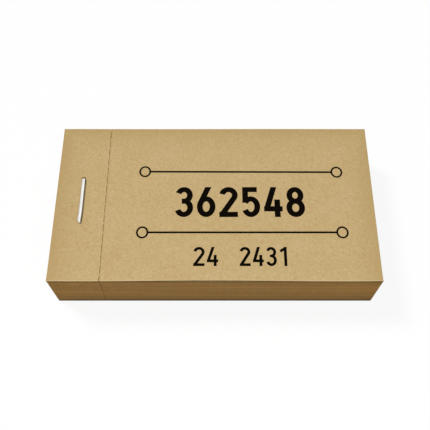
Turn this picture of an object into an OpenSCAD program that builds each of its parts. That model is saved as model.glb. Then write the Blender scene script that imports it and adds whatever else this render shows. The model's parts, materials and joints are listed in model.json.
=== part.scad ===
// Stapled book of tear-off tickets: a backing board, a block of perforated paper leaves and one wire staple.
// The frame has its origin at the middle of the underside, +X to the free end, +Y to the back and +Z up.
// Leaves are counted from the top, starting at 1.

/* [Book] */
// Length of the book, from its stapled end to its free end
book_len = 80; // [60:1:120]
// Depth of the book, from its front edge to its back edge
book_depth = 43; // [30:1:70]
// Thickness of the backing board
board_t = 1; // [0.9:0.05:2]

/* [Leaves] */
// Number of packs of leaves in the block
pack_count = 10; // [2:1:10]
// Number of leaves in a pack
pack_leaves = 10; // [2:1:12]
// Thickness of the paper
paper_t = 0.13; // [0.08:0.005:0.2]
// Air between two leaves
leaf_gap = 0.006; // [0.004:0.001:0.02]
// How far the cut edges of the leaves stray from flush
edge_jog = 0.06; // [0:0.01:0.15]

/* [Perforation] */
// Distance from the stapled end to the top leaf's perforation
perf_from_end = 12.5; // [10:0.25:20]
// How much nearer the bottom leaf's perforation lies to the stapled end
perf_drift = 0.4; // [0:0.05:1]
// Length of the slit that runs out at the front edge
first_slit = 1.3; // [0.3:0.1:2.5]
// Distance from one paper tie to the next
tie_pitch = 2.7; // [1.5:0.1:5]
// Length of a tie, which holds a ticket to its stub
tie_len = 0.7; // [0.3:0.05:0.9]
// Width of the slits between the ties
slit_w = 0.12; // [0.04:0.01:0.3]

/* [Staple] */
// Distance from the stapled end to the middle of the wire
staple_from_end = 6.5; // [4:0.1:7.5]
// Length of the crown over its legs
crown_len = 13; // [11:0.5:24]
// Width of the flat wire
wire_w = 0.85; // [0.7:0.05:1.3]
// Thickness of the flat wire
wire_t = 0.6; // [0.45:0.05:0.7]
// Rounding of the wire's long edges
wire_round = 0.16; // [0.1:0.02:0.22]
// Inside radius of the wire's bends
bend_r = 0.3; // [0.2:0.05:0.5]
// Length of a clinched tail, from the outside of its leg to its tip
tail_len = 4.5; // [2.5:0.25:5]
// Slant of the cut tip of a tail, in degrees
tip_slant = 35; // [0:5:50]

/* [Fits] */
// Clearance round the wire in the holes and grooves that it lies in
wire_clear = 0.04; // [0.02:0.01:0.1]
// How far the clinched tails lie inside the underside of the board
tail_recess = 0.05; // [0.02:0.01:0.1]

/* [Hidden] */
$fn = 48;
kraft = [0.77, 0.66, 0.47];
greyboard = [0.47, 0.38, 0.27];
steel = [0.80, 0.80, 0.79];

// Step of the formula that spreads the strays of the leaves' edges, in degrees
jog_step = 137.5;
// How far a cut runs past the face that it opens
overcut = 0.1;

leaf_count = pack_count * pack_leaves;
leaf_pitch = paper_t + leaf_gap;
book_h = board_t + leaf_count * leaf_pitch;
stapled_x = -book_len / 2;
free_x = book_len / 2;
front_y = -book_depth / 2;
back_y = book_depth / 2;

// Number of ties that end before the back edge
tie_count = ceil((book_depth - first_slit - tie_len) / tie_pitch);

staple_x = stapled_x + staple_from_end;
leg_out_y = crown_len / 2;
leg_mid_y = leg_out_y - wire_t / 2;
bend_y = leg_out_y - wire_t - bend_r;
tip_y = leg_out_y - tail_len;
tail_top_z = tail_recess + wire_t;

function two_digits(n) = str(n < 10 ? "0" : "", n);
function three_digits(n) = str(n < 100 ? "0" : "", two_digits(n));
function stub_pack_name(p) = str("stub_pack_", two_digits(p));
function ticket_name(n) = str("ticket_", three_digits(n));
function ticket_pack_name(p) = str("ticket_pack_", two_digits(p));

// The leaves of pack p
function leaves_of(p) = [(p - 1) * pack_leaves + 1 : p * pack_leaves];
// Height of the underside of leaf n
function leaf_z(n) = book_h - (n - 1) * leaf_pitch - paper_t;
// Place of the perforation of leaf n
function perf_x(n) = stapled_x + perf_from_end - perf_drift * (n - 1) / (leaf_count - 1);
// Strays of leaf n along the depth and along the length
function jog_y(n) = edge_jog * sin(n * jog_step);
function jog_x(n) = edge_jog * cos(n * jog_step);
// Front end of tie k, counted from 0
function tie_y(k) = front_y + first_slit + k * tie_pitch;
// Outline of tie k on a perforated edge at x, where slit_x is the edge of the slits
function tie_edge(k, x, slit_x) = [
    [slit_x, tie_y(k)], [x, tie_y(k)], [x, tie_y(k) + tie_len], [slit_x, tie_y(k) + tie_len]
];
// A perforated edge at x, from front to back, with half of each slit cut out on the given side
function perforated_edge(x, side) = let (slit_x = x + side * slit_w / 2) concat(
    [[slit_x, front_y]],
    [for (k = [0 : tie_count - 1]) each tie_edge(k, x, slit_x)],
    [[slit_x, back_y]]
);

// Both ends of the staple: the children and their mirror image at the front
module both_ends() {
    children();
    mirror([0, 1, 0]) children();
}

// Hole for one leg, long enough for the bends above and below it
module leg_hole() {
    translate([staple_x - wire_w / 2 - wire_clear, bend_y - wire_clear])
        square([wire_w + 2 * wire_clear, leg_out_y - bend_y + 2 * wire_clear]);
}

// The part of leaf n that stays under the staple
module leaf_stub(n) {
    end_x = stapled_x + jog_x(n);
    outline = concat(perforated_edge(perf_x(n), -1), [[end_x, back_y], [end_x, front_y]]);
    translate([0, 0, leaf_z(n)])
        linear_extrude(paper_t)
            difference() {
                translate([0, jog_y(n)]) polygon(outline);
                both_ends() leg_hole();
            }
}

// The part of leaf n that folds and tears off
module leaf_ticket(n) {
    end_x = free_x + jog_x(n);
    outline = concat(perforated_edge(perf_x(n), 1), [[end_x, back_y], [end_x, front_y]]);
    translate([0, jog_y(n), leaf_z(n)])
        linear_extrude(paper_t) polygon(outline);
}

module stub_pack(p) {
    color(kraft) for (n = leaves_of(p)) leaf_stub(n);
}

module ticket(n) {
    color(kraft) leaf_ticket(n);
}

module ticket_pack(p) {
    color(kraft) for (n = leaves_of(p)) leaf_ticket(n);
}

// Groove in the underside of the board that one clinched tail lies in
module tail_groove() {
    translate([staple_x - wire_w / 2 - wire_clear, tip_y - wire_clear, -overcut])
        cube([wire_w + 2 * wire_clear, tail_len + 2 * wire_clear, overcut + tail_top_z]);
}

module backing_board() {
    color(greyboard)
        difference() {
            translate([stapled_x, front_y, 0]) cube([book_len, book_depth, board_t]);
            both_ends() {
                tail_groove();
                translate([0, 0, -overcut]) linear_extrude(board_t + 2 * overcut) leg_hole();
            }
        }
}

// Section of the wire: its width along X and its thickness along Y
module wire_section() {
    square([wire_w - 2 * wire_round, wire_t], center = true);
    square([wire_w, wire_t - 2 * wire_round], center = true);
    for (x = [-1, 1], y = [-1, 1])
        translate([x * (wire_w / 2 - wire_round), y * (wire_t / 2 - wire_round)]) circle(wire_round);
}

// Quarter bend about X, from a run below its centre to a run behind its centre
module wire_bend() {
    rotate([0, 90, 0])
        rotate_extrude(angle = 90)
            translate([bend_r + wire_t / 2, 0]) rotate(90) wire_section();
}

// Run of wire along Y, from front_end to back_end
module wire_run(front_end, back_end) {
    translate([0, back_end, 0])
        rotate([90, 0, 0]) linear_extrude(back_end - front_end) wire_section();
}

// The back leg of the staple, with its upper bend, its lower bend and its clinched tail
module staple_leg() {
    foot_z = tail_top_z + bend_r;
    head_z = book_h - bend_r;
    translate([0, bend_y, head_z]) mirror([0, 0, 1]) wire_bend();
    translate([0, leg_mid_y, foot_z]) linear_extrude(head_z - foot_z) wire_section();
    translate([0, bend_y, foot_z]) wire_bend();
    difference() {
        translate([0, 0, tail_recess + wire_t / 2]) wire_run(tip_y, bend_y);
        translate([-wire_w, tip_y, tail_top_z])
            rotate([tip_slant, 0, 0])
                translate([0, -tail_len, -tail_len]) cube([2 * wire_w, tail_len, tail_len]);
    }
}

module staple() {
    color(steel)
        translate([staple_x, 0, 0]) {
            translate([0, 0, book_h + wire_t / 2]) wire_run(-bend_y, bend_y);
            both_ends() staple_leg();
        }
}

backing_board();
staple();
for (p = [1 : pack_count])
    stub_pack(p);
for (n = leaves_of(1))
    ticket(n);
for (p = [2 : pack_count])
    ticket_pack(p);
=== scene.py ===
import json
import math

import bmesh
import bpy
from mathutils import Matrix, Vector
from mathutils.geometry import delaunay_2d_cdt


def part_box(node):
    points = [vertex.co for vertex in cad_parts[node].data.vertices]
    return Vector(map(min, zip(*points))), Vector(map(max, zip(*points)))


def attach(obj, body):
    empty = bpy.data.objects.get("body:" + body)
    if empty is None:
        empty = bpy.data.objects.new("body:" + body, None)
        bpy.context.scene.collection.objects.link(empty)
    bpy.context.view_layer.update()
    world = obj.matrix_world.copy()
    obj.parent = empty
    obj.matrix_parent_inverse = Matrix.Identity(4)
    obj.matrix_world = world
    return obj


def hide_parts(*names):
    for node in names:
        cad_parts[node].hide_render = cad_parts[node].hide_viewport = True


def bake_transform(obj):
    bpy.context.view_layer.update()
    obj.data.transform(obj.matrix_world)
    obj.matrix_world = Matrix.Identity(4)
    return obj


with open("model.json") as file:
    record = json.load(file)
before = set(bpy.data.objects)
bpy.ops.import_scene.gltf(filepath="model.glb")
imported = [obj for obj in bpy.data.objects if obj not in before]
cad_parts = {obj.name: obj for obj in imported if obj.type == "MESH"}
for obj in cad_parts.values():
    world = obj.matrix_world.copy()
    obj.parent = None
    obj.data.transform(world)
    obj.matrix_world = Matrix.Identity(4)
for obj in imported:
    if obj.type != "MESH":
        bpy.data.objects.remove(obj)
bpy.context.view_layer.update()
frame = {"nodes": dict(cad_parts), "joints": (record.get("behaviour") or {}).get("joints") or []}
scene = bpy.context.scene
scene.view_settings.view_transform = "Standard"

# Camera
# It stands in front of the middle of the book and looks steeply down on it, so that the printed leaf fills
# the picture and the cut front edges show as a narrow band below it. Its place is in millimetres.
MM = 0.001
camera_place = (0.045, -74.83, 157.44)
camera_tilt = math.radians(26.364)
camera = bpy.data.objects.new("camera", bpy.data.cameras.new("camera"))
camera.data.sensor_width = 36
camera.data.lens = 53.56
camera.location = [length * MM for length in camera_place]
camera.rotation_euler = (camera_tilt, 0, 0)
scene.collection.objects.link(camera)
scene.camera = camera

# Studio
# A white sweep of card, sized in metres. A far softbox on the left gives the staple its short shadow, a
# small one over the front lights the cut edges, and the walls and the card's own bounce fill the shade.
# Metal shows the white walls only.
floor_side = 4.0
floor_bounce = "#EEEEEE"
wall_light = 0.21
card_glow = 0.90
left_softbox = {"place": Vector((-1.9, 1.2, 3.0)), "side": 0.8, "watts": 101.5}
front_softbox = {"place": Vector((0, -0.13, 0.24)), "side": 0.2, "watts": 0.18}


def linear(colour):
    """The linear RGBA values of an sRGB hex colour."""
    shares = [int(colour[i : i + 2], 16) / 255 for i in (1, 3, 5)]
    return [s / 12.92 if s <= 0.04045 else ((s + 0.055) / 1.055) ** 2.4 for s in shares] + [1]


def add_node(tree, kind, settings=(), inputs=()):
    """Adds a node to a tree with its settings, and gives each named input its value or its link."""
    made = tree.nodes.new("ShaderNode" + kind)
    for name, value in dict(settings).items():
        setattr(made, name, value)
    for name, value in dict(inputs).items():
        if isinstance(value, bpy.types.NodeSocket):
            tree.links.new(value, made.inputs[name])
        else:
            made.inputs[name].default_value = value
    return made


def seen_rays(tree):
    """A socket that is 1 for rays that show the studio itself, and 0 for those that light the object."""
    path = add_node(tree, "LightPath").outputs
    shown = path["Is Camera Ray"]
    for other in ("Is Glossy Ray", "Is Transmission Ray"):
        shown = add_node(tree, "Math", {"operation": "MAXIMUM"}, {0: shown, 1: path[other]}).outputs[0]
    return shown


def white_walls():
    """Walls that look white, and fill the shade with a dimmer, even light."""
    world = bpy.data.worlds.new("white_walls")
    world.use_nodes = True
    tree = world.node_tree
    tree.nodes.clear()
    ends = {"Value": seen_rays(tree), "To Min": wall_light, "To Max": 1.0}
    strength = add_node(tree, "MapRange", inputs=ends).outputs[0]
    glow = add_node(tree, "Background", inputs={"Color": linear("#FFFFFF"), "Strength": strength})
    add_node(tree, "OutputWorld", inputs={"Surface": glow.outputs[0]})
    return world


def white_card():
    """Matt white card. Where it is seen it glows, so that it reads as white and keeps a faint shadow."""
    material = bpy.data.materials.new("matt_white_card")
    material.use_nodes = True
    tree = material.node_tree
    tree.nodes.clear()
    seen = seen_rays(tree)
    tones = {0: seen, 6: linear(floor_bounce), 7: linear("#FFFFFF")}
    white = add_node(tree, "Mix", {"data_type": "RGBA"}, tones).outputs[2]
    card = add_node(tree, "BsdfDiffuse", inputs={"Color": white}).outputs[0]
    glow = add_node(tree, "Emission", inputs={"Color": linear("#FFFFFF"), "Strength": 1.0}).outputs[0]
    share = add_node(tree, "Math", {"operation": "MULTIPLY"}, {0: seen, 1: card_glow}).outputs[0]
    mixed = add_node(tree, "MixShader", inputs={0: share, 1: card, 2: glow}).outputs[0]
    add_node(tree, "OutputMaterial", inputs={"Surface": mixed})
    return material


scene.world = white_walls()
floor_mesh = bpy.data.meshes.new("floor")
floor_ends = ((-1, -1), (1, -1), (1, 1), (-1, 1))
floor_corners = [(x * floor_side / 2, y * floor_side / 2, 0) for x, y in floor_ends]
floor_mesh.from_pydata(floor_corners, [], [(0, 1, 2, 3)])
floor_mesh.materials.append(white_card())
floor = bpy.data.objects.new("floor", floor_mesh)
scene.collection.objects.link(floor)

for softbox in (left_softbox, front_softbox):
    lamp = bpy.data.objects.new("softbox", bpy.data.lights.new("softbox", "AREA"))
    lamp.data.shape = "SQUARE"
    lamp.data.size = softbox["side"]
    lamp.data.energy = softbox["watts"]
    lamp.location = softbox["place"]
    lamp.rotation_euler = (-softbox["place"]).to_track_quat("-Z", "Y").to_euler()
    lamp.visible_glossy = False
    scene.collection.objects.link(lamp)

# Backing board
# A 1 mm card of unbleached recycled pulp under the last leaf, cut flush with the block by the same
# guillotine. The staple's legs go through it, its tails lie pressed into its underside, and its lower arris
# is rubbed round.
board_low, board_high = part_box("backing_board")

# The rubbed arris, and the pulp's flecks, clouds and grain. From here on, sizes given as numbers are in
# millimetres, and those read from the frame are in metres unless they are divided by MM.
board_arris = 0.23
arris_steps = 3
board_fleck = 0.5
board_cloud = 5.0
board_relief = 0.03

# Distance in metres within which two corners are one, and the angles that make a face flat or an edge sharp
weld = 1e-7
flat_angle = math.radians(0.5)
sharp_angle = math.radians(35)


def cad_copy(node):
    """A copy of a CAD node's mesh, with its corners welded and its flat faces made whole."""
    shape = bmesh.new()
    shape.from_mesh(frame["nodes"][node].data)
    bmesh.ops.remove_doubles(shape, verts=shape.verts, dist=weld)
    bmesh.ops.dissolve_limit(shape, angle_limit=flat_angle, verts=shape.verts, edges=shape.edges)
    return shape


def foot_corner(vert):
    """Whether a point is one of the four outer corners of the board's underside."""
    outer = abs(vert.co.x) > board_high.x - weld and abs(vert.co.y) > board_high.y - weld
    return outer and vert.co.z < board_low.z + weld


def board_shape():
    """The board with its lower arris rubbed round."""
    shape = cad_copy("backing_board")
    arris = [edge for edge in shape.edges if all(foot_corner(vert) for vert in edge.verts)]
    rubbed = {"offset": board_arris * MM, "segments": arris_steps, "profile": 0.5, "affect": "EDGES"}
    bmesh.ops.bevel(shape, geom=arris, **rubbed)
    return shape


def add_piece(name, shape, materials):
    """Makes a piece from a bmesh, and keeps each point's place in millimetres for the patterns."""
    mesh = bpy.data.meshes.new(name)
    shape.to_mesh(mesh)
    shape.free()
    for material in materials:
        mesh.materials.append(material)
    place = mesh.attributes.new("place_mm", "FLOAT_VECTOR", "POINT")
    place.data.foreach_set("vector", [value / MM for point in mesh.vertices for value in point.co])
    mesh.shade_smooth()
    mesh.set_sharp_from_angle(angle=sharp_angle)
    piece = bpy.data.objects.new(name, mesh)
    scene.collection.objects.link(piece)
    return piece


def new_material(name):
    """An empty material with the socket that gives a piece's place in millimetres."""
    material = bpy.data.materials.new(name)
    material.use_nodes = True
    tree = material.node_tree
    tree.nodes.clear()
    place = add_node(tree, "Attribute", {"attribute_name": "place_mm"}).outputs["Vector"]
    return material, tree, place


def recycled_board():
    """Unbleached recycled board, pressed from mixed pulp: a dull, matt brown with pale and dark flecks."""
    material, tree, place = new_material("recycled_brown_board")
    cloud = {"Vector": place, "Scale": 1 / board_cloud, "Detail": 3}
    cloud = add_node(tree, "TexNoise", inputs=cloud).outputs[0]
    fleck = {"Vector": place, "Scale": 1 / board_fleck, "Detail": 4}
    fleck = add_node(tree, "TexNoise", inputs=fleck).outputs[0]
    tones = {0: cloud, 6: linear("#453019"), 7: linear("#594026")}
    colour = add_node(tree, "Mix", {"data_type": "RGBA"}, tones).outputs[2]
    pale = {"Value": fleck, "From Min": 0.58, "From Max": 0.72, "To Max": 0.3}
    dark = {"Value": fleck, "From Min": 0.42, "From Max": 0.28, "To Max": 0.6}
    for mark, tone in ((pale, "#A98F69"), (dark, "#4A3824")):
        share = add_node(tree, "MapRange", inputs=mark).outputs[0]
        tones = {0: share, 6: colour, 7: linear(tone)}
        colour = add_node(tree, "Mix", {"data_type": "RGBA"}, tones).outputs[2]
    rough = {"Value": fleck, "To Min": 0.82, "To Max": 0.96}
    rough = add_node(tree, "MapRange", inputs=rough).outputs[0]
    relief = {"Height": fleck, "Strength": 0.5, "Distance": board_relief * MM}
    relief = add_node(tree, "Bump", inputs=relief).outputs[0]
    finish = {"Base Color": colour, "Roughness": rough, "Normal": relief, "Specular IOR Level": 0.05}
    surface = add_node(tree, "BsdfPrincipled", inputs=finish).outputs[0]
    add_node(tree, "OutputMaterial", inputs={"Surface": surface})
    return material


board = add_piece("backing_board_card", board_shape(), [recycled_board()])
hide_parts("backing_board")
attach(board, "bound_block")

# Stubs
# The bound ends of 100 leaves of kraft paper, pierced by the staple and cut together, with edges that stray
# by hundredths of a millimetre. The top few lift a little at the cut edges, stand up in a fine burr along
# the perforation and are drawn down where the staple's legs go in.
book_low, book_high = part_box("ticket_001")
book_top = book_high.z
leaf_pitch = book_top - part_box("ticket_002")[1].z
front_y = board_low.y / MM
back_y = board_high.y / MM
stapled_x = board_low.x / MM
free_x = board_high.x / MM
perforation_x = book_low.x / MM
perforation_drift = perforation_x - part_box("ticket_002")[0].x / MM
staple_low, staple_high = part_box("staple")
wire_x = (staple_low.x + staple_high.x) / 2 / MM
wire_wide = (staple_high.x - staple_low.x) / MM
wire_out = staple_high.y / MM

# The staple's holes, the dents round them, the shares of the dents' reach at which leaves are cut, and
# the lean of the staple's front bend
hole_long = 0.9
hole_worn = 0.25
dent_deep = 0.06
dent_reach = 0.7
dent_cuts = (0.25, 0.5, 0.75, 1.0, 1.5)
bend_lean = 0.2
bend_skew = 0.6

# The burr beside the perforation, how far its slits gape, and how far every second leaf's row is off
burr_high = 0.05
burr_reach = 0.32
slit_open = 0.035
leaf_jog = 0.16
pressed_leaves = 10

# The lifted edges: their height, how far in they reach, and the waves along them. A leaf lifts by a share
# of the one above it.
lift_front = 0.2
lift_back = 0.06
lift_end = 0.10
lift_reach = 3.6
lift_share = 0.4
lifted_leaves = 5
overhang = 0.26
flush_crest = 0.82
wave_len = 62.0
front_crest = -1.0
back_crest = 17.0
end_crest = 6.0
wave_step = 2.5
curl_step = 0.6

# Share of a leaf's pitch by which a point may lie too high and still count as that leaf's
leaf_slack = 0.01

# The paper's face. Real fibres are about 0.03 mm wide, too fine to show, so they are drawn four times as
# coarse, at three angles in degrees. From leaf to leaf the pattern moves on by leaf_shift times the pitch.
fibre_len = 0.9
fibre_wide = 0.13
fibre_angles = (12, 68, 131)
fibre_bend = 0.6
fibre_sway = 1 / 0.7
paper_cloud = 6.0
paper_speck = 1.9
paper_relief = 0.02
leaf_shift = 40.0
# Widths of the darker rim at the ends and back edge, of the painted shade along the perforation and of the
# painted highlight along the top leaf's front edge
toned_rim = 9.0
perforation_shade_reach = 0.14
edge_highlight_reach = 0.45

# The cut edges' marks, each as its size along X, Y and Z: piles of six leaves alike, single leaves, fibres,
# which are drawn coarser as on the face, and the knife's nicks
edge_pile = (50.0, 50.0, 0.85)
edge_leaf = (90.0, 90.0, 0.15)
edge_fibre = (0.5, 0.5, 0.13)
knife_mark = (0.4, 0.4, 30.0)
# Where the painted light on the cut edges begins, and how deep the painted shade reaches at the head, at
# the foot and where the top leaves have parted
free_end_light_from = 18.0
head_shade_depth = 3.2
foot_shade_height = 8.0
parted_head = 1.1


def crest(along, middle):
    """How high a cut edge lifts at a place along it, from 0 in a trough to 1 on the crest."""
    return 0.5 + 0.5 * math.cos(2 * math.pi * (along - middle) / wave_len)


def curl(distance):
    """How much of an edge's lift is left at a distance from it."""
    return max(0.0, 1 - distance / lift_reach) ** 2


def lift(x, y, leaf):
    """How far a point of a leaf, counted from 0 at the top, lifts off the block."""
    front = lift_front * curl(y - front_y)
    back = lift_back * curl(back_y - y) * crest(x, back_crest)
    end = lift_end * curl(free_x - x) * crest(y, end_crest)
    return (front + back + end) * lift_share**leaf


def askew(x, y):
    """How far the staple's front bend was knocked askew: to the left, and back on its left side."""
    near = min(1.0, max(0.0, -y / wire_out)) ** 3
    left = min(1.0, max(0.0, 0.5 - (x - wire_x) / wire_wide))
    return Vector((-bend_lean, bend_skew * left, 0)) * near


def press(x, y, leaf):
    """How far a point was moved by the perforating rule, which pushed the slits' lips up and apart, never
    on quite the same line, and by the staple's legs, which drew the paper down, wore the back hole longer
    and pulled the front hole askew."""
    fade = 1 - leaf / pressed_leaves
    aside = x - perforation_x + perforation_drift * leaf
    burr = burr_high * fade * max(0.0, 1 - abs(aside) / burr_reach)
    shift = 0.0
    if abs(aside) < burr_reach / 2:
        shift = leaf_jog * (leaf % 2)
        if abs(aside) > slit_open:
            shift += math.copysign(slit_open, aside)
    beside = max(0.0, abs(x - wire_x) - wire_wide / 2)
    along = max(0.0, abs(abs(y) - wire_out + hole_long / 2) - hole_long / 2)
    pull = max(0.0, 1 - math.hypot(beside, along) / dent_reach) ** 2
    worn = hole_worn * pull if y > wire_out else 0.0
    return Vector((shift, worn, burr - dent_deep * fade * pull)) + askew(x, y) * fade * pull


def settle(piece):
    """Gives the top leaves of a piece their lifted edges, proud front corners, burr and dents."""
    for point in piece.data.vertices:
        leaf = math.floor((book_top - point.co.z) / leaf_pitch + leaf_slack)
        x, y = point.co.x / MM, point.co.y / MM
        if leaf < pressed_leaves:
            point.co += press(x, y, leaf) * MM
        if leaf < lifted_leaves:
            proud = overhang * curl(y - front_y) * (flush_crest - crest(x, front_crest)) * lift_share**leaf
            point.co.z += lift(x, y, leaf) * MM
            point.co.y -= proud * MM


def cut_at(shape, places, axis):
    """Cuts faces across at places along an axis, so that they can bend there."""
    for place in places:
        everything = shape.verts[:] + shape.edges[:] + shape.faces[:]
        middle = [place * MM if i == axis else 0 for i in range(3)]
        across = [1 if i == axis else 0 for i in range(3)]
        bmesh.ops.bisect_plane(shape, geom=everything, dist=weld, plane_co=middle, plane_no=across)


def steps(start, stop, step):
    """Places between two ends, evenly spaced."""
    count = max(1, round(abs(stop - start) / step))
    return [start + (stop - start) * i / count for i in range(1, count)]


def hole_cuts(shape):
    """Cuts leaves finely round the staple's holes, where they were drawn down."""
    reaches = [share * dent_reach for share in dent_cuts]
    sides = [wire_wide / 2 + reach for reach in reaches]
    ends = [wire_out + reach for reach in reaches] + [wire_out - hole_long - reach for reach in reaches]
    cut_at(shape, [wire_x + side for side in sides] + [wire_x - side for side in sides], 0)
    cut_at(shape, ends + [-end for end in ends], 1)


def burr_cuts(shape):
    """Cuts leaves beside the perforation, where its burr stands up."""
    reaches = (burr_reach, 2 * burr_reach)
    cut_at(shape, [perforation_x + side * reach for reach in reaches for side in (-1, 1)], 0)


def curl_cuts(shape):
    """Cuts leaves finely along their front and back edges, where they lift."""
    margin = steps(0, lift_reach + curl_step, curl_step)
    cut_at(shape, [front_y + m for m in margin] + [back_y - m for m in margin], 1)


def kraft_face():
    """Uncoated kraft paper as it leaves the machine: tan, softly clouded, with fine fibres lying every way
    and a few dark specks. It is a little darker towards its ends and its back edge, has painted shade
    along the perforation, and a painted highlight along the top leaf's front edge."""
    material, tree, place = new_material("kraft_paper_uncoated")
    apart = {0: place, 1: (1, 1, leaf_shift)}
    apart = add_node(tree, "VectorMath", {"operation": "MULTIPLY"}, apart).outputs[0]
    cloud = {"Vector": apart, "Scale": 1 / paper_cloud, "Detail": 1}
    cloud = add_node(tree, "TexNoise", inputs=cloud).outputs[0]
    sway = {"Vector": apart, "Scale": 1 / fibre_sway, "Detail": 1}
    sway = add_node(tree, "TexNoise", inputs=sway).outputs[1]
    bent = {0: sway, 1: (fibre_bend,) * 3, 2: apart}
    bent = add_node(tree, "VectorMath", {"operation": "MULTIPLY_ADD"}, bent).outputs[0]
    fibres = 0.0
    for angle in fibre_angles:
        turn = {"Vector": bent, "Rotation": (0, 0, math.radians(angle))}
        turned = add_node(tree, "Mapping", inputs=turn).outputs[0]
        drawn = {0: turned, 1: (1 / fibre_len, 1 / fibre_wide, 1)}
        drawn = add_node(tree, "VectorMath", {"operation": "MULTIPLY"}, drawn).outputs[0]
        fibre = add_node(tree, "TexNoise", inputs={"Vector": drawn, "Scale": 1.0, "Detail": 1}).outputs[0]
        fibres = add_node(tree, "Math", {"operation": "ADD"}, {0: fibre, 1: fibres}).outputs[0]
    speck = {"Vector": apart, "Scale": 1 / paper_speck}
    speck = add_node(tree, "TexVoronoi", inputs=speck).outputs["Distance"]
    spot = add_node(tree, "SeparateXYZ", inputs={0: place}).outputs
    darker_rim = 0.0
    # Darker towards the ends and the back edge
    for side, start, inward in (("X", stapled_x, 1), ("X", free_x, -1), ("Y", back_y, -1)):
        near = {"Value": spot[side], "From Min": start + inward * toned_rim, "From Max": start}
        near = add_node(tree, "MapRange", inputs=near).outputs[0]
        darker_rim = add_node(tree, "Math", {"operation": "MAXIMUM"}, {0: near, 1: darker_rim}).outputs[0]
    darker_rim = add_node(tree, "Math", {"operation": "POWER"}, {0: darker_rim, 1: 2.0}).outputs[0]
    # Painted shade along the perforation: a warm brown line that follows its drift down the leaves
    drift = perforation_drift / (leaf_pitch / MM)
    perforation_shade_x = perforation_x - drift * book_top / MM
    aside = {0: place, 1: (1, 0, -drift)}
    aside = add_node(tree, "VectorMath", {"operation": "DOT_PRODUCT"}, aside).outputs["Value"]
    aside = add_node(tree, "Math", {"operation": "SUBTRACT"}, {0: aside, 1: perforation_shade_x}).outputs[0]
    aside = add_node(tree, "Math", {"operation": "ABSOLUTE"}, {0: aside}).outputs[0]
    # Painted highlight along the top leaf's front edge
    outer = {0: spot["Z"], 1: (book_top - leaf_pitch / 2) / MM}
    outer = add_node(tree, "Math", {"operation": "GREATER_THAN"}, outer).outputs[0]
    edge_highlight_share = add_node(tree, "Math", {"operation": "MULTIPLY"}, {0: outer, 1: 0.5}).outputs[0]
    cloud = {"Value": cloud, "From Min": 0.3, "From Max": 0.7}
    cloud = add_node(tree, "MapRange", inputs=cloud).outputs[0]
    tones = {0: cloud, 6: linear("#C5AA77"), 7: linear("#C8AD7C")}
    colour = add_node(tree, "Mix", {"data_type": "RGBA"}, tones).outputs[2]
    pale = {"Value": fibres, "From Min": 1.55, "From Max": 1.95, "To Max": 0.58}
    dark = {"Value": fibres, "From Min": 1.45, "From Max": 1.05, "To Max": 0.58}
    darker_rim = {"Value": darker_rim, "To Max": 0.5}
    perforation_shade = {"Value": aside, "From Min": perforation_shade_reach, "From Max": perforation_shade_reach / 3, "To Max": 0.35}
    edge_highlight = {"Value": spot["Y"], "From Min": front_y + edge_highlight_reach, "From Max": front_y, "To Max": edge_highlight_share}
    speck = {"Value": speck, "From Min": 0.085, "From Max": 0.03, "To Max": 0.45}
    for mark, tone in (
        (pale, "#DAC398"),
        (dark, "#A98A57"),
        (darker_rim, "#AF925D"),
        (perforation_shade, "#A07A10"),
        (edge_highlight, "#DAC398"),
        (speck, "#7A5C33"),
    ):
        share = add_node(tree, "MapRange", inputs=mark).outputs[0]
        tones = {0: share, 6: colour, 7: linear(tone)}
        colour = add_node(tree, "Mix", {"data_type": "RGBA"}, tones).outputs[2]
    rough = {"Value": fibres, "From Min": 1.0, "From Max": 2.0, "To Min": 0.92, "To Max": 0.8}
    rough = add_node(tree, "MapRange", inputs=rough).outputs[0]
    relief = {"Height": fibres, "Strength": 0.35, "Distance": paper_relief * MM}
    relief = add_node(tree, "Bump", inputs=relief).outputs[0]
    finish = {"Base Color": colour, "Roughness": rough, "Normal": relief, "Specular IOR Level": 0.25}
    surface = add_node(tree, "BsdfPrincipled", inputs=finish).outputs[0]
    add_node(tree, "OutputMaterial", inputs={"Surface": surface})
    return material


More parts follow.
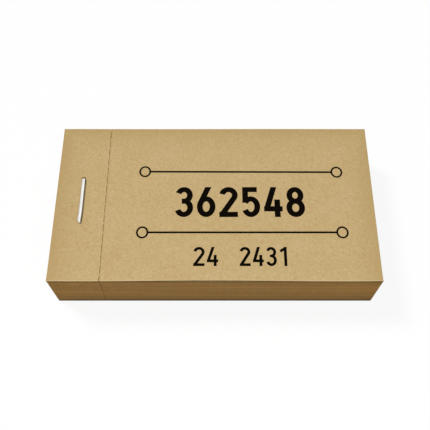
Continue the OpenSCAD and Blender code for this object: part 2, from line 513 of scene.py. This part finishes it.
def kraft_edge():
    """Guillotine-cut edges of stacked kraft paper: deeper in colour than the face, each leaf in a tone of
    its own, with faint upright marks of the knife. Painted light makes them paler towards the free end,
    and painted shade makes them darker along the head and the foot of the block and where the top
    leaves have parted at the front."""
    material, tree, place = new_material("kraft_paper_guillotined")
    marks = []
    for size in (edge_pile, edge_leaf, edge_fibre, knife_mark):
        drawn = {0: place, 1: [1 / length for length in size]}
        drawn = add_node(tree, "VectorMath", {"operation": "MULTIPLY"}, drawn).outputs[0]
        mark = {"Vector": drawn, "Scale": 1.0, "Detail": 3}
        marks.append(add_node(tree, "TexNoise", inputs=mark).outputs[0])
    pile, leaf, fibre, knife = marks
    spot = add_node(tree, "SeparateXYZ", inputs={0: place}).outputs
    height = spot["Z"]
    head_z = book_top / MM
    parted_low = head_z - parted_head
    parted_full = parted_low + parted_head / 3
    fore = {"Value": spot["Y"], "From Min": front_y + lift_reach, "From Max": front_y, "To Max": 0.7}
    fore = add_node(tree, "MapRange", inputs=fore).outputs[0]
    pile = {"Value": pile, "From Min": 0.32, "From Max": 0.68}
    pile = add_node(tree, "MapRange", inputs=pile).outputs[0]
    tones = {0: pile, 6: linear("#9A6D32"), 7: linear("#D9A153")}
    colour = add_node(tree, "Mix", {"data_type": "RGBA"}, tones).outputs[2]
    single = {"Value": leaf, "From Min": 0.52, "From Max": 0.3, "To Max": 0.7}
    fibre = {"Value": fibre, "From Min": 0.5, "From Max": 0.3, "To Max": 0.35}
    knife = {"Value": knife, "From Min": 0.5, "From Max": 0.75, "To Max": 0.35}
    # Painted light: paler towards the free end
    free_end_light = {"Value": spot["X"], "From Min": free_end_light_from, "From Max": free_x, "To Max": 0.35}
    # Painted shade: darker towards the head, towards the foot, and just below the head at the front where
    # the top leaves have parted
    head = {"Value": height, "From Min": head_z - head_shade_depth, "From Max": head_z, "To Max": 0.55}
    foot = {"Value": height, "From Min": foot_shade_height, "From Max": 0.0, "To Max": 0.58}
    parted = {"Value": height, "From Min": parted_low, "From Max": parted_full, "To Max": fore}
    for mark, tone in (
        (single, "#805623"),
        (fibre, "#805623"),
        (knife, "#C9A169"),
        (free_end_light, "#D79E47"),
        (head, "#6B4A22"),
        (foot, "#6B4A22"),
        (parted, "#4A3216"),
    ):
        share = add_node(tree, "MapRange", inputs=mark).outputs[0]
        tones = {0: share, 6: colour, 7: linear(tone)}
        colour = add_node(tree, "Mix", {"data_type": "RGBA"}, tones).outputs[2]
    rough = {"Value": leaf, "To Min": 0.86, "To Max": 0.98}
    rough = add_node(tree, "MapRange", inputs=rough).outputs[0]
    relief = {"Height": leaf, "Strength": 0.4, "Distance": paper_relief * MM}
    relief = add_node(tree, "Bump", inputs=relief).outputs[0]
    finish = {"Base Color": colour, "Roughness": rough, "Normal": relief, "Specular IOR Level": 0.03}
    surface = add_node(tree, "BsdfPrincipled", inputs=finish).outputs[0]
    add_node(tree, "OutputMaterial", inputs={"Surface": surface})
    return material


paper = [kraft_face(), kraft_edge()]


def add_leaves(node, shape):
    """Makes the leaves of a CAD node in paper, with its face on their flats and its cut on their edges."""
    for face in shape.faces:
        level = abs(face.normal.z) > 0.5
        face.material_index = 0 if level else 1
    leaves = add_piece(node + "_paper", shape, paper)
    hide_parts(node)
    settle(leaves)
    return leaves


stub_packs = sorted(name for name in frame["nodes"] if name.startswith("stub_pack"))
for node in stub_packs:
    stubs = cad_copy(node)
    if node == stub_packs[0]:
        curl_cuts(stubs)
        hole_cuts(stubs)
        burr_cuts(stubs)
        cut_at(stubs, steps(stapled_x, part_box(node)[1].x / MM, wave_step), 0)
    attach(add_leaves(node, stubs), "bound_block")

# Tickets
# The free ends of the same leaves, held to the stubs only by the paper ties between the perforation's
# slits. They bend up from the perforation like the pages of a pad, and the top one tears off.
fold = next(joint for joint in frame["joints"] if joint["name"] == "ticket_002_fold")
hinge = Vector(fold["pos_m"])
bend_len = 8.0
bend_steps = 24
bend_cuts = [hinge.x / MM + bend_len * i / bend_steps for i in range(bend_steps + 1)]


def top_leaf(node):
    """The number of a node's top leaf, counted from 0 at the top of the book."""
    return round((book_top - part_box(node)[1].z) / leaf_pitch)


tickets = sorted(name for name in frame["nodes"] if name.startswith("ticket"))
torn_ticket = tickets[0]
for node in tickets:
    leaves = cad_copy(node)
    if node != torn_ticket:
        cut_at(leaves, bend_cuts, 0)
    if top_leaf(node) < pressed_leaves:
        burr_cuts(leaves)
    if top_leaf(node) < lifted_leaves:
        curl_cuts(leaves)
        end_margin = [free_x - m for m in steps(0, lift_reach + curl_step, curl_step)]
        cut_at(leaves, steps(bend_cuts[-1], end_margin[-1], wave_step) + end_margin, 0)
    piece = add_leaves(node, leaves)
    if node == torn_ticket:
        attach(piece, node)
    else:
        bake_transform(piece)

# Print
# One pass of matt black offset ink on each ticket: two rules with ring ends, a bold number between them,
# and below them a lot number and a serial number that is one higher on each leaf. It is drawn on the leaves
# that show as the book opens.
ink_lift = 0.001
ink_thick = 0.004
upper_rule = ((-17.95, 8.43), (31.32, 8.28))
lower_rule = ((-17.87, -8.8), (31.4, -8.8))
ring_across = 3.05
ring_tall = 3.28
ring_line = 0.46
rule_line = 0.52
bold_number = "362548"
bold_from, bold_to = -10.1, 22.6
bold_foot, bold_high = -4.6, 8.5
bold_stroke, bold_gap = 1.45, 0.95
lot_number = "24"
lot_from, lot_to = -5.2, 0.8
serial_first = 2431
serial_from, serial_to = 6.0, 18.1
serial_foot, serial_high = -17.7, 5.0
serial_stroke, serial_gap = 0.72, 0.55

# Angle between two points of an arc in degrees, and the distances within which points of the print are one
arc_step = 9
same_end = 1e-6
ink_weld = 1e-5


def arc(middle, across, up, start, stop):
    """Points along an ellipse from one angle to another, in degrees."""
    count = max(2, round(abs(stop - start) / arc_step))
    angles = [math.radians(start + (stop - start) * i / count) for i in range(count + 1)]
    return [Vector((middle[0] + across * math.cos(a), middle[1] + up * math.sin(a))) for a in angles]


def stroke_quads(line, width):
    """The four-sided patches of a line drawn at an even width. A line that ends at its start is closed."""
    line = [Vector(point) for point in line]
    closed = (line[0] - line[-1]).length < same_end
    ways = [(b - a).normalized() for a, b in zip(line, line[1:])]
    before = [ways[-1] if closed else ways[0]] + ways
    after = ways + [ways[0] if closed else ways[-1]]
    sides = []
    for point, way_in, way_out in zip(line, before, after):
        across = (way_in + way_out).orthogonal().normalized()
        reach = across * width / 2 / across.dot(way_in.orthogonal())
        sides.append((point + reach, point - reach))
    return [(a[0], a[1], b[1], b[0]) for a, b in zip(sides, sides[1:])]


def slant_quads(top, foot, width):
    """One slanting stroke with level ends."""
    top, foot = Vector(top), Vector(foot)
    half = Vector((width / 2 / (top - foot).normalized().y, 0))
    return [(top - half, foot - half, foot + half, top + half)]


def digit_quads(digit, wide, high, stroke):
    """The patches of a plain digit in even strokes, made of bars and arcs in a box that starts at 0, 0."""
    left, right = stroke / 2, wide - stroke / 2
    foot, head = stroke / 2, high - stroke / 2
    middle, reach, tall = wide / 2, wide / 2 - stroke / 2, high - stroke
    bowl = 0.31 * tall
    small = 0.235 * tall
    large = tall / 2 - small
    waist = head - 2 * small

    def line(*points):
        """A bar from point to point."""
        return stroke_quads(points, stroke)

    def oval(height, across, up, start, stop):
        """An arc round a place at a height on the digit's middle line."""
        return stroke_quads(arc((middle, height), across, up, start, stop), stroke)

    if digit == "0":
        upper = arc((middle, head - reach), reach, reach, 0, 180)
        lower = arc((middle, foot + reach), reach, reach, 180, 360)
        return stroke_quads(upper + lower + upper[:1], stroke)
    if digit == "1":
        stem = middle + 0.3 * reach
        flag = (left, head - 0.85 * reach)
        return line((stem, 0), (stem, high)) + line((stem, head), flag)
    if digit == "2":
        neck = arc((middle, head - reach), reach, reach, 170, -38)
        return stroke_quads(neck + [Vector((left, foot))], stroke) + line((0, foot), (wide, foot))
    if digit == "3":
        upper = oval(head - small, 0.92 * reach, small, 160, -90)
        lower = oval(foot + large, reach, large, 90, -160)
        tongue = middle - 0.35 * reach
        return upper + lower + line((tongue, waist), (middle, waist))
    if digit == "4":
        bar = 0.27 * high
        stem = right - 0.35 * reach
        peak = middle + 0.15 * reach
        slope = slant_quads((peak, high), (left, bar), stroke)
        return slope + line((0, bar), (wide, bar)) + line((stem, 0), (stem, 0.58 * high))
    if digit == "5":
        belly = arc((middle, foot + bowl), reach, bowl, 150, -155)
        side = belly[0].x
        bars = line((side, high), belly[0]) + line((side - stroke / 2, head), (right, head))
        return bars + stroke_quads(belly, stroke)
    if digit in "69":
        belly = arc((middle, foot + bowl), reach, bowl, 150, 510)
        touch = belly[0]
        slope = math.tan(math.radians(30)) * reach / bowl
        peak = (touch.x + slope * (high - touch.y), high)
        quads = stroke_quads(belly, stroke) + slant_quads(peak, touch, stroke)
        if digit == "9":
            quads = [[Vector((wide, high)) - point for point in quad] for quad in quads]
        return quads
    if digit == "7":
        peak = right - 0.05 * stroke
        return line((0, head), (wide, head)) + slant_quads((peak, high), (0.3 * wide, 0), stroke)
    return oval(head - small, 0.88 * reach, small, 0, 360) + oval(foot + large, reach, large, 0, 360)


def number_quads(number, start, stop, foot, high, stroke, gap):
    """The patches of a row of digits that fills a line from start to stop."""
    wide = (stop - start + gap) / len(number) - gap
    quads = []
    for i, digit in enumerate(number):
        corner = Vector((start + i * (wide + gap), foot))
        quads += [[corner + point for point in quad] for quad in digit_quads(digit, wide, high, stroke)]
    return quads


def rule_quads(left, right):
    """The patches of a rule that ends in a ring on either side."""
    across = (ring_across - ring_line) / 2
    up = (ring_tall - ring_line) / 2
    rings = [stroke_quads(arc(end, across, up, 0, 360), ring_line) for end in (left, right)]
    line = [(left[0] + across, left[1]), (right[0] - across, right[1])]
    return rings[0] + rings[1] + stroke_quads(line, rule_line)


def ink_film(quads, height):
    """A closed film of ink that covers all the patches once, at a height."""
    corners = [point for quad in quads for point in quad]
    patches = [list(range(4 * i, 4 * i + 4)) for i in range(len(quads))]
    points, _, faces, _, _, sources = delaunay_2d_cdt(corners, [], patches, 0, ink_weld)
    film = bmesh.new()
    verts = [film.verts.new((point.x * MM, point.y * MM, height)) for point in points]
    for face, source in zip(faces, sources):
        if source:
            film.faces.new([verts[i] for i in face])
    bmesh.ops.delete(film, geom=[vert for vert in film.verts if not vert.link_faces], context="VERTS")
    bmesh.ops.dissolve_limit(film, angle_limit=flat_angle, verts=film.verts, edges=film.edges)
    bmesh.ops.recalc_face_normals(film, faces=film.faces)
    if film.faces[:][0].normal.z > 0:
        bmesh.ops.reverse_faces(film, faces=film.faces)
    under = film.faces[:]
    over = bmesh.ops.extrude_face_region(film, geom=under, use_keep_orig=True)["geom"]
    raised = [item for item in over if isinstance(item, bmesh.types.BMVert)]
    bmesh.ops.translate(film, verts=raised, vec=(0, 0, ink_thick * MM))
    bmesh.ops.recalc_face_normals(film, faces=film.faces)
    return film


def offset_ink():
    """Matt black offset ink on uncoated paper: near black, a little thin where the fibres drank it."""
    material, tree, place = new_material("matt_black_offset_ink")
    drink = {"Vector": place, "Scale": 1 / fibre_wide, "Detail": 3}
    drink = add_node(tree, "TexNoise", inputs=drink).outputs[0]
    thin = {"Value": drink, "From Min": 0.45, "From Max": 0.75}
    thin = add_node(tree, "MapRange", inputs=thin).outputs[0]
    tones = {0: thin, 6: linear("#0C0906"), 7: linear("#16110B")}
    colour = add_node(tree, "Mix", {"data_type": "RGBA"}, tones).outputs[2]
    rough = {"Value": drink, "To Min": 0.62, "To Max": 0.85}
    rough = add_node(tree, "MapRange", inputs=rough).outputs[0]
    relief = {"Height": drink, "Strength": 0.3, "Distance": paper_relief * MM}
    relief = add_node(tree, "Bump", inputs=relief).outputs[0]
    finish = {"Base Color": colour, "Roughness": rough, "Normal": relief, "Specular IOR Level": 0.01}
    surface = add_node(tree, "BsdfPrincipled", inputs=finish).outputs[0]
    add_node(tree, "OutputMaterial", inputs={"Surface": surface})
    return material


ink = offset_ink()
bold_line = (bold_from, bold_to, bold_foot, bold_high, bold_stroke, bold_gap)
lot_line = (lot_from, lot_to, serial_foot, serial_high, serial_stroke, serial_gap)
serial_line = (serial_from, serial_to, serial_foot, serial_high, serial_stroke, serial_gap)
same_quads = number_quads(bold_number, *bold_line) + number_quads(lot_number, *lot_line)
for rule in (upper_rule, lower_rule):
    same_quads += rule_quads(*rule)
for node in tickets:
    serial = str(serial_first + top_leaf(node))
    film_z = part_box(node)[1].z + ink_lift * MM
    film = ink_film(same_quads + number_quads(serial, *serial_line), film_z)
    print_piece = add_piece(node + "_print", film, [ink])
    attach(print_piece, node)

# Staple
# One length of flattened, galvanised steel wire, broken off a glued strip and driven through the block from
# the top. Its crown lies on the top leaf, with the front bend knocked askew by the stapler, its legs go
# down through the stubs and its cut tails are clinched flat into the board.
wire_thick = (staple_high.z - book_top) / MM
wire_round = 0.22
bend_inside = 0.3
tail_len = 4.5
tip_slant = math.radians(35)
bend_rings = 10
crown_step = 0.8
leg_step = 0.25
round_points = 6

# The wire's finish. A die's lines are about 0.01 mm wide, too fine to show, so they are drawn coarser.
draw_line = (0.07, 30.0, 0.07)
zinc_bloom = 1 / 1.2
# Where the painted highlight lies across the wire, and how far in from its flanks the glue and painted
# shade reach
wire_highlight_from, wire_highlight_to = -0.3, 0.12
glue_and_shade_in = 0.02
glue_rough = 0.4
wire_relief = 0.01


def wire_path():
    """Middle of the wire from its front tip to its back tip, as pairs of a place and a direction."""
    crown_z = staple_high.z / MM - wire_thick / 2
    tail_z = staple_low.z / MM + wire_thick / 2
    radius = bend_inside + wire_thick / 2
    leg = wire_out - wire_thick / 2
    turn_y = leg - radius
    path = [(Vector((0, -wire_out + tail_len, tail_z)), Vector((0, -1, 0)))]

    def bend(z, start, stop):
        """Adds a quarter bend of the front leg about a height, from one angle to another."""
        for i in range(bend_rings + 1):
            angle = math.radians(start + (stop - start) * i / bend_rings)
            spoke = Vector((0, math.cos(angle), math.sin(angle)))
            path.append((Vector((0, -turn_y, z)) + radius * spoke, Vector((0, spoke.z, -spoke.y))))

    bend(tail_z + radius, -90, -180)
    straight_z = (book_top - pressed_leaves * leaf_pitch) / MM
    for z in steps(straight_z - leg_step, crown_z - radius, leg_step):
        path.append((Vector((0, -leg, z)), Vector((0, 0, 1))))
    bend(crown_z - radius, 180, 90)
    for y in steps(-turn_y, 0, crown_step):
        path.append((Vector((0, y, crown_z)), Vector((0, 1, 0))))
    other = [(Vector((0, -p.y, p.z)), Vector((0, d.y, -d.z))) for p, d in reversed(path)]
    return path + other


def wire_section():
    """Outline of the flattened wire, across its width and through its thickness."""
    corner_x = wire_wide / 2 - wire_round
    corner_z = wire_thick / 2 - wire_round
    outline = []
    for x, z, start in ((1, 1, 0), (-1, 1, 90), (-1, -1, 180), (1, -1, 270)):
        for i in range(round_points + 1):
            angle = math.radians(start + 90 * i / round_points)
            across = x * corner_x + wire_round * math.cos(angle)
            outline.append((across, z * corner_z + wire_round * math.sin(angle)))
    return outline


def staple_shape():
    """The wire swept along its path, with both tips cut at a slant."""
    shape = bmesh.new()
    section = wire_section()
    path = wire_path()
    rings = []
    for i, (place, way) in enumerate(path):
        outward = Vector((0, -way.z, way.y))
        ring = []
        for across, depth in section:
            point = place + outward * depth + Vector((across, 0, 0))
            if i in (0, len(path) - 1):
                cut_back = (wire_thick / 2 + depth) * math.tan(tip_slant)
                point += way * cut_back * (1 if i == 0 else -1)
            ring.append(shape.verts.new(point * MM + Vector((wire_x * MM, 0, 0))))
        rings.append(ring)
    for ring, following in zip(rings, rings[1:]):
        for i in range(len(section)):
            j = (i + 1) % len(section)
            shape.faces.new((ring[i], ring[j], following[j], following[i]))
    shape.faces.new(rings[0])
    shape.faces.new(rings[-1])
    bmesh.ops.recalc_face_normals(shape, faces=shape.faces)
    return shape


def knock(piece):
    """Knocks the wire's front bend askew, with the paper round it."""
    for point in piece.data.vertices:
        depth = max(0.0, book_top - point.co.z) / leaf_pitch
        share = max(0.0, 1 - depth / pressed_leaves)
        point.co += askew(point.co.x / MM, point.co.y / MM) * share * MM


def galvanised_wire():
    """Galvanised steel wire, drawn through a die and rolled flat: bright and cool, with fine lines along
    it and a painted highlight beside its middle. Its flanks are dulled by the strip's brown glue
    and painted darker as shade."""
    material, tree, place = new_material("galvanised_drawn_wire")
    drawn = {0: place, 1: [1 / length for length in draw_line]}
    drawn = add_node(tree, "VectorMath", {"operation": "MULTIPLY"}, drawn).outputs[0]
    lines = add_node(tree, "TexNoise", inputs={"Vector": drawn, "Scale": 1.0, "Detail": 2}).outputs[0]
    bloom = {"Vector": place, "Scale": 1 / zinc_bloom, "Detail": 3}
    bloom = add_node(tree, "TexNoise", inputs=bloom).outputs[0]
    across = add_node(tree, "SeparateXYZ", inputs={0: place}).outputs["X"]
    # Painted highlight: paler beside the wire's middle
    wire_highlight = {"Value": across, "From Min": wire_x + wire_highlight_from, "From Max": wire_x + wire_highlight_to}
    wire_highlight = add_node(tree, "MapRange", inputs=wire_highlight).outputs[0]
    tones = {0: wire_highlight, 6: linear("#DEDCDA"), 7: linear("#FAF9F5")}
    colour = add_node(tree, "Mix", {"data_type": "RGBA"}, tones).outputs[2]
    bloom = {"Value": bloom, "From Min": 0.45, "From Max": 0.7, "To Max": 0.4}
    bloom = add_node(tree, "MapRange", inputs=bloom).outputs[0]
    tones = {0: bloom, 6: colour, 7: linear("#D2D0CB")}
    colour = add_node(tree, "Mix", {"data_type": "RGBA"}, tones).outputs[2]
    # Partly the strip's glue and partly painted shade: the flanks are painted dark and made rougher
    aside = add_node(tree, "Math", {"operation": "SUBTRACT"}, {0: across, 1: wire_x}).outputs[0]
    aside = add_node(tree, "Math", {"operation": "ABSOLUTE"}, {0: aside}).outputs[0]
    glue_and_shade = {"Value": aside, "From Min": (wire_wide - wire_round) / 2, "From Max": wire_wide / 2 - glue_and_shade_in}
    glue_and_shade = add_node(tree, "MapRange", inputs=glue_and_shade).outputs[0]
    tones = {0: glue_and_shade, 6: colour, 7: linear("#6B665C")}
    colour = add_node(tree, "Mix", {"data_type": "RGBA"}, tones).outputs[2]
    rough = add_node(tree, "MapRange", inputs={"Value": lines, "To Min": 0.2, "To Max": 0.4}).outputs[0]
    dulled = {0: glue_and_shade, 1: glue_rough, 2: rough}
    dulled = add_node(tree, "Math", {"operation": "MULTIPLY_ADD"}, dulled).outputs[0]
    relief = {"Height": lines, "Strength": 0.25, "Distance": wire_relief * MM}
    relief = add_node(tree, "Bump", inputs=relief).outputs[0]
    finish = {"Base Color": colour, "Metallic": 1.0, "Roughness": dulled, "Normal": relief}
    surface = add_node(tree, "BsdfPrincipled", inputs=finish).outputs[0]
    add_node(tree, "OutputMaterial", inputs={"Surface": surface})
    return material


staple = add_piece("staple_wire", staple_shape(), [galvanised_wire()])
knock(staple)
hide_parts("staple")
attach(staple, "bound_block")
